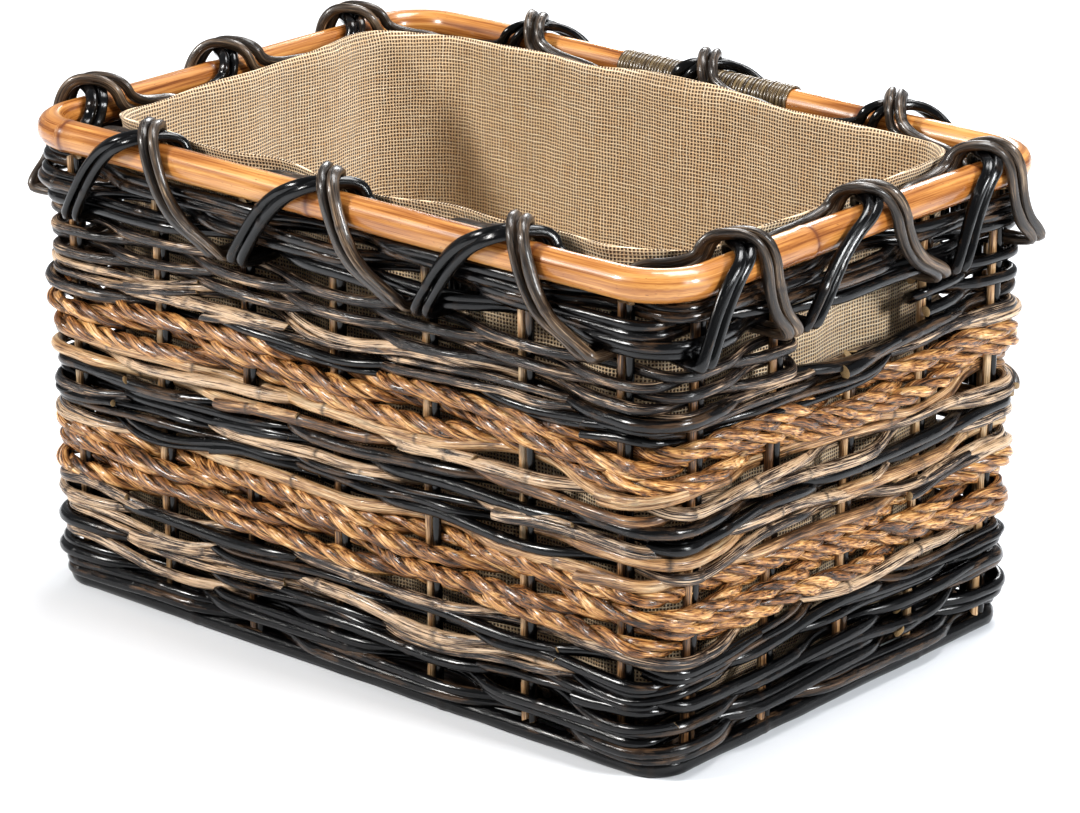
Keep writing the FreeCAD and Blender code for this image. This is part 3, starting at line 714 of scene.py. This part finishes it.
weave_band("lower_weave", LOWER_WEAVE_AT, ("kg", "kk", "gk", "kg", "gk", "kk", "gg"), 0)
weave_band("middle_weave", MIDDLE_WEAVE_AT, ("gt", "kg", "tk", "gg", "kt", "kk", "tg", "gk", "tt"), 1)
weave_band("upper_weave", UPPER_WEAVE_AT, ("gk", "gg", "kg"), 1)


# A rod of a thick pair, and how far aside and up it lies from the pair's middle.
PAIR_ROD, PAIR_ASIDE, PAIR_UP = 7.6, 2.2, 3.3


def thick_band(name, start, rows):
    """Rows of thick rods, each of two slimmer rods that lie together and cross now and then."""
    bundle = Bundle()
    for row in range(rows):
        height = start + row * THICK_ROW
        outline = wall_outline(height)
        places, _, out = outline.round(int(outline.length / STEP))
        turned = places / outline.length
        for strand in (0, 1):
            middle = row_line(height, row, THICK, places, 1.8)
            angle = TAU * (strand / 2 + 0.25) + 0.9 * np.sin(TAU * 3 * turned + row)
            middle[:, :2] += out * (PAIR_ASIDE * np.cos(angle))[:, None]
            middle[:, 2] += PAIR_UP * np.sin(angle)
            rod(bundle, middle, PAIR_ROD + 0.6 * strand, closed=True, worn=0.8)
    placed(bundle, name + "_pairs", "black_rattan", name)


thick_band("wale_rods", WALE_AT, 2)
thick_band("border_rods", BORDER_AT, 3)

PLIES, PLY_OUT, PLY_RADIUS, PLY_SIDES = 3, 3.0, 3.4, 12
PLY_STEP = 2.8    # from point to point along a ply


def rope_band(name, start, rows, first_row):
    """Ropes of three twisted plies. Each ply is uneven and ribbed across its leaf."""
    bundle = Bundle()
    for row in range(rows):
        height = start + row * ROPE_ROW
        outline = wall_outline(height)
        places = outline.round(int(outline.length / PLY_STEP))[0]
        turned = places / outline.length
        middle = row_line(height, first_row + row, ROPE, places, 1.5, sway=0.75)
        _, across, other = carried_frames(middle, True)
        twists = int(round(outline.length / rng.uniform(58, 70)))
        lay = TAU * twists * turned + 0.9 * np.sin(TAU * 5 * turned + row)
        for ply in range(PLIES):
            angle = lay + TAU * ply / PLIES
            wide = PLY_OUT + 0.4 * np.sin(TAU * rng.integers(9, 15) * turned)
            centre = middle + across * (wide * np.cos(angle))[:, None] + other * (
                wide * np.sin(angle))[:, None]
            round_it = np.arange(PLY_SIDES) * TAU / PLY_SIDES
            section = np.ones((len(places), PLY_SIDES))
            for order, share, waves in ((2, 0.12, 23), (4, 0.06, -41), (7, 0.05, 57)):
                section += share * np.cos(order * round_it[None, :] + rng.uniform(0, TAU)
                                          + TAU * (waves + rng.integers(0, 6)) * turned[:, None])
            radius = PLY_RADIUS * (1 + 0.10 * np.sin(TAU * 31 * turned + rng.uniform(0, TAU))
                                   + 0.05 * np.sin(TAU * 77 * turned + rng.uniform(0, TAU)))
            _, own_a, own_b = carried_frames(centre, True)
            surface = centre[:, None] + (own_a[:, None] * np.cos(round_it)[:, None]
                                         + own_b[:, None] * np.sin(round_it)[:, None]) * PLY_RADIUS
            # How far each corner of a ply lies out from the rope's middle; the rope material paints
            # shade where this is low.
            away = np.linalg.norm(surface - middle[:, None], axis=2) / (PLY_OUT + PLY_RADIUS)
            tube(bundle, centre, radius, PLY_SIDES, True, section, rng.uniform(), 0.0,
                 depth=away, seed=rng.uniform(0, 40))
    placed(bundle, name + "_plies", "leaf_rope", name)


rope_band("lower_ropes", LOWER_ROPES_AT, 4, 1)
rope_band("upper_ropes", UPPER_ROPES_AT, 3, 0)


def handhold_rods(name, first, last, slot):
    """A rod that goes to and fro between the handholds and turns round their end stakes."""
    bundle = Bundle()
    line = []
    for row in range(4):
        height = HANDHOLD_AT + row * ROW
        places = row_run(height, first, last, 6, 6)
        stretch = row_line(height, row, ROD, places, 1.6, repeat=2)
        if row % 2:
            stretch = stretch[::-1]
        if line:
            end, start = line[-1][-1], stretch[0]
            heading = line[-1][-1] - line[-1][-2]
            heading /= np.linalg.norm(heading)
            turn = np.linspace(0, math.pi, 8)[1:-1]
            middle, half = (end + start) / 2, (end - start) / 2
            line.append(middle + half * np.cos(turn)[:, None]
                        + heading * (np.linalg.norm(half) * np.sin(turn))[:, None])
        line.append(stretch)
    rod(bundle, respaced(np.vstack(line), STEP), 1.15 * ROD, worn=0.9, knot_every=(50, 150))
    placed(bundle, name + "_turns", slot, name)


handhold_rods("front_handhold_rod", 22, 8, "grey_rattan")
handhold_rods("back_handhold_rod", 10, 20, "black_rattan")


# ---- stakes and foot
STAKE_BOTTOM, STAKE_TOP, SHORT_STAKE_TOP = 11.8, 306.5, 235.6


def stakes(name, hand, slot):
    """One stake of each pair. The middle pair of an end stops below its handhold."""
    bundle = Bundle()
    for side in range(4):
        for order, along in enumerate(SHORT_STATIONS if side % 2 else LONG_STATIONS):
            top = SHORT_STAKE_TOP if side % 2 and order == 2 else STAKE_TOP
            heights = np.arange(STAKE_BOTTOM, top, 6.0)
            line = []
            for height in heights:
                outline = wall_outline(height)
                flat, _ = outline.at([outline.place_of(side, along + hand * PAIR_HALF)])
                line.append([*flat[0], height])
            line = np.array(line)
            line[:, :2] += 0.25 * np.column_stack([ripple(heights, 120), ripple(heights, 120)])
            rod(bundle, line, STAKE * rng.uniform(1.0, 1.12), sides=10, worn=0.8)
    placed(bundle, name + "_rods", slot, name)


stakes("light_stakes", -1, "tan_rattan")
stakes("dark_stakes", 1, "black_rattan")

FOOT_BEND, FOOT_HEIGHT, FOOT_DIAMETER = 22.0, 5.4, 11.6


def make_foot():
    """The hoop that the basket stands on, pressed flat where it meets the floor."""
    outline, bundle = Outline(HALF_LENGTH, HALF_WIDTH, FOOT_BEND), Bundle()
    _, flat, _ = outline.round(600)
    line = np.column_stack([flat, np.full(len(flat), FOOT_HEIGHT)])
    rod(bundle, line, FOOT_DIAMETER, closed=True, sides=16)
    bundle.points[0][:, 2] = np.maximum(bundle.points[0][:, 2], 0.0)
    placed(bundle, "foot_hoop_rod", "black_rattan", "foot_hoop")


make_foot()


def dressed(node, skin):
    """A node whose plain shape is right keeps its mesh and takes a better material."""
    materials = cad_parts[node].data.materials
    materials.clear()
    materials.append(skin)


dressed("base_hoop", cane_material("base_hoop_cane", along=0.0, **GREY_BASE))
dressed("base_sticks", cane_material("base_stick_cane", along=0.0, **TAN_BASE))
dressed("base_weavers", cane_material("base_weaver_cane", along=math.pi / 2, **GREY_BASE))

# ---- rim pole and its splice binding
POLE_X, POLE_Y, POLE_BEND, POLE_HEIGHT, POLE_RADIUS = 272.0, 190.0, 36.0, 320.0, 10.5
pole_outline = Outline(POLE_X, POLE_Y, POLE_BEND)
# Side and place along it of each knot of the pole.
POLE_KNOTS = ((0, -234.0), (0, -12.0), (0, 172.0), (1, -57.0), (1, 118.0), (2, -132.0), (2, 147.0),
              (3, 22.0), (3, -141.0))


def make_pole():
    """A smooth cane pole with raised knots, wrinkled inside its four bends."""
    places, flat, _ = pole_outline.round(900)
    turned = places / pole_outline.length
    centre = np.column_stack([flat, POLE_HEIGHT + 0.7 * np.sin(TAU * 3 * turned + 0.6)])
    level = 1 + 0.012 * np.sin(TAU * 7 * turned) + 0.010 * np.sin(TAU * 19 * turned + 1)
    knot = np.zeros(len(places))
    for side, along in POLE_KNOTS:
        middle = pole_outline.place_of(side, along)
        gap = (places - middle + pole_outline.length / 2) % pole_outline.length
        gap -= pole_outline.length / 2
        knot = np.maximum(knot, bell(gap, 0, 1.6) + 0.35 * bell(gap, 3, 7))
        level += 0.045 * bell(gap, -1.5, 5) - 0.035 * bell(gap, 1.8, 1.6)
    sides = 32
    angle = np.arange(sides) * TAU / sides
    section = np.ones((len(places), sides)) + 0.012 * np.cos(2 * angle + 0.4) \
        + 0.008 * np.cos(5 * angle + 1.3)
    for corner in range(4):
        middle = (pole_outline.edges[2 * corner + 1] + pole_outline.edges[2 * corner + 2]) / 2
        gap = places - middle
        wrinkle = np.cos(TAU * gap / 8.0 + 0.8 * np.sin(gap / 9)) * bell(gap, 0, 17)
        inner = np.clip(np.cos(angle - math.pi / 2), 0, 1)
        section += 0.016 * wrinkle[:, None] * inner[None, :]
    bundle = Bundle()
    tube(bundle, centre, POLE_RADIUS * level, sides, True, section, 0.5, knot)
    placed(bundle, "rim_pole_cane", "golden_cane", "rim_pole")


make_pole()


def make_binding():
    """Thin flat cane wound round the splice, turn beside turn, each a little uneven."""
    turns, half, sides = 54, 73.5, 8
    count = turns * 18
    travel = np.linspace(0, 1, count)
    turn = travel * turns * TAU
    wide = 2 * half / turns
    jitter = 0.25 * ripple(travel * turns, 3.1)
    x = -half + 2 * half * travel + jitter
    reach = POLE_RADIUS + 0.85 + 0.15 * ripple(travel * turns, 1.7)
    centre = np.column_stack([x, POLE_Y + reach * np.cos(turn), POLE_HEIGHT + reach * np.sin(turn)])
    bundle = Bundle()
    tangent = np.gradient(centre, axis=0)
    tangent /= np.linalg.norm(tangent, axis=1)[:, None]
    outward = np.column_stack([np.zeros(count), np.cos(turn), np.sin(turn)])
    beside = np.cross(tangent, outward)
    angle = np.arange(sides) * TAU / sides
    points = (centre[:, None] + outward[:, None] * (0.95 * np.sin(angle))[:, None]
              + beside[:, None] * (wide * 0.53 * np.cos(angle))[:, None])
    along = np.repeat(run_of(centre)[:, None], sides, axis=1)
    grain = np.stack([along, np.broadcast_to(np.cos(angle) * wide / 2, along.shape),
                      np.broadcast_to(np.sin(angle), along.shape)], axis=-1) * MM
    tones = np.repeat(0.5 + 0.5 * ripple(travel * turns, 1.3), sides)
    bundle.add(points.reshape(-1, 3), grid_faces(count, sides, flipped=True),
               grain=grain.reshape(-1, 3), tone=tones)
    cap = np.arange(sides)[None]
    bundle.faces += [cap, cap[:, ::-1] + (count - 1) * sides]
    placed(bundle, "splice_binding_turns", "binding_cane", "splice_binding")


make_binding()

# ---- lashing
# On each side: where the black pair comes out of the wall, its crest, and where the brown goes in.
STITCHES = {0: ((-220.0, -158.0, -88.6), (-68.6, 0.0, 68.6), (88.6, 156.0, 220.0)),
            1: ((-171.5, -122.0, -87.0), (-67.0, 6.0, 67.0), (87.0, 132.0, 171.5))}
OUT, IN, CORNER_IN, GAP_HEIGHT, LEAN, DROP = 15.4, -22.6, -27.6, 271.3, 8.7, 7.0
BLACK_TOP, BROWN_TOP, BLACK_RUN, BROWN_RUN, BLACK_TURN = 335.4, 342.0, 312.0, 317.0, 302.0
# Where the black pair bulges on its way up and the brown bends on its way down: share along, height.
BLACK_BULGE, BROWN_BEND = (0.48, 317.0), (0.30, 294.0)
PAIR_OUT = 4.7      # from the middle of a lashing pair to a strand
LASH = 7.2          # diameter of a strand
# The direction along each side, then the direction out of it.
RUNS = np.array([[1, 0, 0], [0, 1, 0], [-1, 0, 0], [0, -1, 0]], dtype=float)
OUTS = np.array([[0, -1, 0], [1, 0, 0], [0, 1, 0], [-1, 0, 0]], dtype=float)


def pole_reach(side):
    """How far the pole's middle line is from the basket's middle on a side."""
    return POLE_X if side % 2 else POLE_Y


def beside(side, along, out, height, shift=(0.0, 0.0)):
    """A point beside the pole. The shift, along and up, is a strand's place in its pair."""
    return (RUNS[side] * (along + shift[0]) + OUTS[side] * (pole_reach(side) + out)
            + np.array([0, 0, height + shift[1]]))


def in_corner(side, out, height, shift):
    """A point inside the corner that follows a side, out from the pole's bend there."""
    following = (side + 1) % 4
    inset = POLE_BEND - (POLE_BEND + out) * math.sqrt(0.5)
    across = (RUNS[side] + RUNS[following]) * math.sqrt(0.5) * shift[0]
    return (OUTS[side] * (pole_reach(side) - inset) + OUTS[following]
            * (pole_reach(following) - inset) + across + np.array([0, 0, height + shift[1]]))


def inside_hole(side, along, height, shift):
    """Where a strand comes through inside the wall. Past the last station that is in the corner."""
    last = (SHORT_STATIONS if side % 2 else LONG_STATIONS)[-1]
    if abs(along) < last:
        return beside(side, along, IN, height, shift)
    corner = side if along > 0 else (side - 1) % 4
    return in_corner(corner, CORNER_IN, height, (shift[0] * 0.65, shift[1]))


def through(side, along, hand, outwards):
    """Points through the wall, crowded at both ends, so that a softened strand turns there."""
    shift = (hand * PAIR_OUT, 0.0)
    inside = inside_hole(side, along, GAP_HEIGHT, shift)
    outside = beside(side, along, OUT, GAP_HEIGHT, shift)
    across = (outside - inside) / np.linalg.norm(outside - inside)
    up = np.array([0, 0, 1.0])
    points = [inside + up * 4, inside + across * 3, outside - across * 3, outside + up * 4]
    return points if outwards else points[::-1]


def black_strand(hand):
    """Out of the wall, over the pole, along inside it and down to the next hole."""
    flat, turned = (hand * PAIR_OUT, 0.0), (hand * PAIR_OUT, hand * 2.6)
    slant, upright = (hand * 4.2, hand * 3.4), (hand * 2.0, hand * 3.6)
    points = []
    for side in range(4):
        stitches = STITCHES[side % 2]
        for order, (start, crest, _) in enumerate(stitches):
            share, height = BLACK_BULGE
            bulge = start + share * (crest - LEAN - start)
            points += through(side, start, hand, True) + [
                beside(side, bulge, OUT, height, flat),
                beside(side, crest - LEAN, OUT, BLACK_TOP, flat),
                beside(side, crest + LEAN, -OUT, BLACK_TOP, flat),
                beside(side, crest + LEAN + DROP, -OUT, BLACK_RUN + 3, slant)]
            if order < len(stitches) - 1:
                to_side, to_start = side, stitches[order + 1][0]
                points.append(beside(side, to_start - 10, -OUT, BLACK_RUN, upright))
            else:
                to_side = (side + 1) % 4
                to_start = STITCHES[to_side % 2][0][0]
                if side % 2 == 0:
                    near = pole_reach(to_side) - POLE_BEND - 8
                    points.append(beside(side, near, -OUT, BLACK_RUN, upright))
                points.append(in_corner(side, -OUT, BLACK_RUN, upright))
            points.append(inside_hole(to_side, to_start, BLACK_TURN, turned))
    return points


def brown_strand(hand):
    """Into the wall, up inside it, over the pole and in again."""
    flat, turned = (hand * PAIR_OUT, 0.0), (hand * PAIR_OUT, -hand * 3.4)
    slant = (hand * 4.2, -hand * 3.4)
    points = []
    for side in range(4):
        from_side, end = (side - 1) % 4, STITCHES[(side - 1) % 2][-1][2]
        for _, crest, next_end in STITCHES[side % 2]:
            share, height = BROWN_BEND
            bend = crest + LEAN + share * (next_end - crest - LEAN)
            points += [
                inside_hole(from_side, end, BROWN_RUN, turned),
                beside(side, crest - LEAN - DROP, -OUT - 4, BROWN_RUN + 3, slant),
                beside(side, crest - LEAN, -OUT, BROWN_TOP, flat),
                beside(side, crest + LEAN, OUT, BROWN_TOP, flat),
                beside(side, bend, OUT, height, flat)] + through(side, next_end, hand, False)
            from_side, end = side, next_end
    return points


def lashing(name, strand, slot):
    bundle = Bundle()
    for hand in (-1, 1):
        line = respaced(softened(strand(hand), 5), 2.2, closed=True)
        rod(bundle, line, LASH, closed=True, worn=1.7, sides=16, knot_every=(60, 190))
    placed(bundle, name + "_strands", slot, name)


lashing("black_lashing", black_strand, "black_rattan")
lashing("brown_lashing", brown_strand, "brown_cane")

# ---- liner
LINER_X, LINER_Y, LINER_BEND, LINER_FLOOR, LINER_TOP = 246.0, 164.0, 50.0, 26.4, 328.1
CLOTH = 1.2
liner_outline = Outline(LINER_X, LINER_Y, LINER_BEND)


def cloth_piece(node, points, grain, faces, fan=(), **sheet):
    """A cloth panel of the liner. fan closes its middle. sheet, how it is cut and lies, is not used.
    """
    bundle = Bundle()
    bundle.add(points, faces, grain=grain * MM)
    bundle.faces += fan
    piece = placed(bundle, node + "_cloth", "burlap", node, "liner")
    solid = piece.modifiers.new("thickness", "SOLIDIFY")
    solid.thickness, solid.offset = CLOTH * MM, 0.0


def folds(places, heights, shape):
    """How far the loose cloth stands in from its outline, in soft upright folds."""
    total = 0.0
    for waves, start, lean, share in shape:
        total = total + share * np.sin(TAU * waves * places / liner_outline.length + start
                                       + lean * heights / 100)
    return total


def make_liner():
    """The liner's wall, in soft folds, and its floor, a little rumpled."""
    shape = [(int(rng.integers(3, 22)), rng.uniform(0, TAU), rng.uniform(-0.8, 0.8),
              rng.uniform(0.3, 1.0)) for _ in range(9)]
    around, levels = 460, 84
    places, flat, out = liner_outline.round(around)
    share = np.linspace(0, 1, levels)
    top = LINER_TOP - 2.0 + 2.6 * np.sin(TAU * 5 * places / liner_outline.length + 0.7) \
        + 1.5 * np.sin(TAU * 11 * places / liner_outline.length + 2.0)
    heights = LINER_FLOOR + 1.2 + share[:, None] * (top[None, :] - LINER_FLOOR)
    spread = np.broadcast_to(places, heights.shape)
    depth = 1.6 * folds(spread, heights, shape)
    depth = np.clip(4.2 - depth, 0.9, 11.0)
    foot_curl = 6.0 * np.exp(-((heights - LINER_FLOOR) / 9.0) ** 2)
    rim_flare = 2.5 * np.clip((heights - 318) / 10, 0, 1) ** 2
    inward = depth + foot_curl - rim_flare
    points = np.concatenate([flat[None] - out[None] * inward[..., None], heights[..., None]],
                            axis=-1).reshape(-1, 3)
    grain = np.stack([spread, heights, np.zeros_like(heights)], axis=-1).reshape(-1, 3)
    cloth_piece("liner_wall", points, grain, grid_faces(levels, around),
                flat=(liner_outline.length * MM, (LINER_TOP - LINER_FLOOR) * MM), held="hung")

    rings = 48
    grow = np.linspace(0, 1, rings + 1)[1:]
    flat = (flat[None] - out[None] * 3.0) * grow[:, None, None]
    rumple = 1.6 * np.sin(flat[..., 0] / 46 + 1.1 * np.sin(flat[..., 1] / 38)) \
        * np.sin(flat[..., 1] / 52 + 0.6) + 0.8 * np.sin(flat[..., 0] / 19 + flat[..., 1] / 27)
    edge = np.clip((1 - grow) / 0.25, 0, 1)[:, None]
    height = LINER_FLOOR + 0.3 + (1.6 + rumple) * edge
    points = np.concatenate([flat, height[..., None]], axis=-1).reshape(-1, 3)
    centre = np.array([[0.0, 0.0, height[0].mean()]])
    points = np.vstack([points, centre])
    fan = fan_faces(0, around, len(points) - 1)
    cloth_piece("liner_floor", points, points * [1, 1, 0], grid_faces(rings, around, flipped=True),
                [fan], flat=(2 * LINER_X * MM, 2 * LINER_Y * MM), area=0.1592, held="laid",
                rests_on=["base_weavers"])


make_liner()

# ---- floor, lights and tone
AIM = (0, 0, 0.2)


def make_stage():
    mesh = bpy.data.meshes.new("studio_floor")
    reach = 14.0
    mesh.from_pydata([(-reach, -reach, 0), (reach, -reach, 0), (reach, reach, 0),
                      (-reach, reach, 0)], [], [(0, 1, 2, 3)])
    floor = added("studio_floor", mesh)
    g = Graph("studio_floor")
    cloud = g.noise(g.node("TexCoord", out="Object"), (1.5, 1.5, 1.5), 1.0)
    colour = g.ramp(cloud, ((0.3, (0.86, 0.88, 0.91)), (0.7, (0.90, 0.91, 0.93))))
    g.finish(colour, 0.7, cloud, 0.00001)
    mesh.materials.append(g.material)


def area_light(name, place, size, power, colour=(1, 1, 1)):
    data = bpy.data.lights.new(name, "AREA")
    data.shape, data.size, data.size_y = "RECTANGLE", size[0], size[1]
    data.energy, data.color = power, colour
    light = added(name, data)
    light.location = place
    light.rotation_euler = (Vector(AIM) - Vector(place)).to_track_quat("-Z", "Y").to_euler()


make_stage()
area_light("key", (-1.6, -2.6, 2.4), (0.7, 0.7), 125, (1.0, 0.985, 0.96))
area_light("side", (3.0, 0.2, 1.7), (0.6, 0.8), 88, (0.97, 0.99, 1.0))
area_light("top", (0.2, 0.9, 3.0), (1.6, 1.2), 80)
area_light("back", (-1.8, 2.8, 1.6), (1.0, 0.9), 26)
world = bpy.data.worlds.new("studio")
world.use_nodes = True
background = world.node_tree.nodes["Background"].inputs
background["Color"].default_value, background["Strength"].default_value = (0.93, 0.96, 1.0, 1), 0.32
bpy.context.scene.world = world
bpy.context.scene.view_settings.view_transform = "Standard"
bpy.context.scene.view_settings.look = "Medium High Contrast"
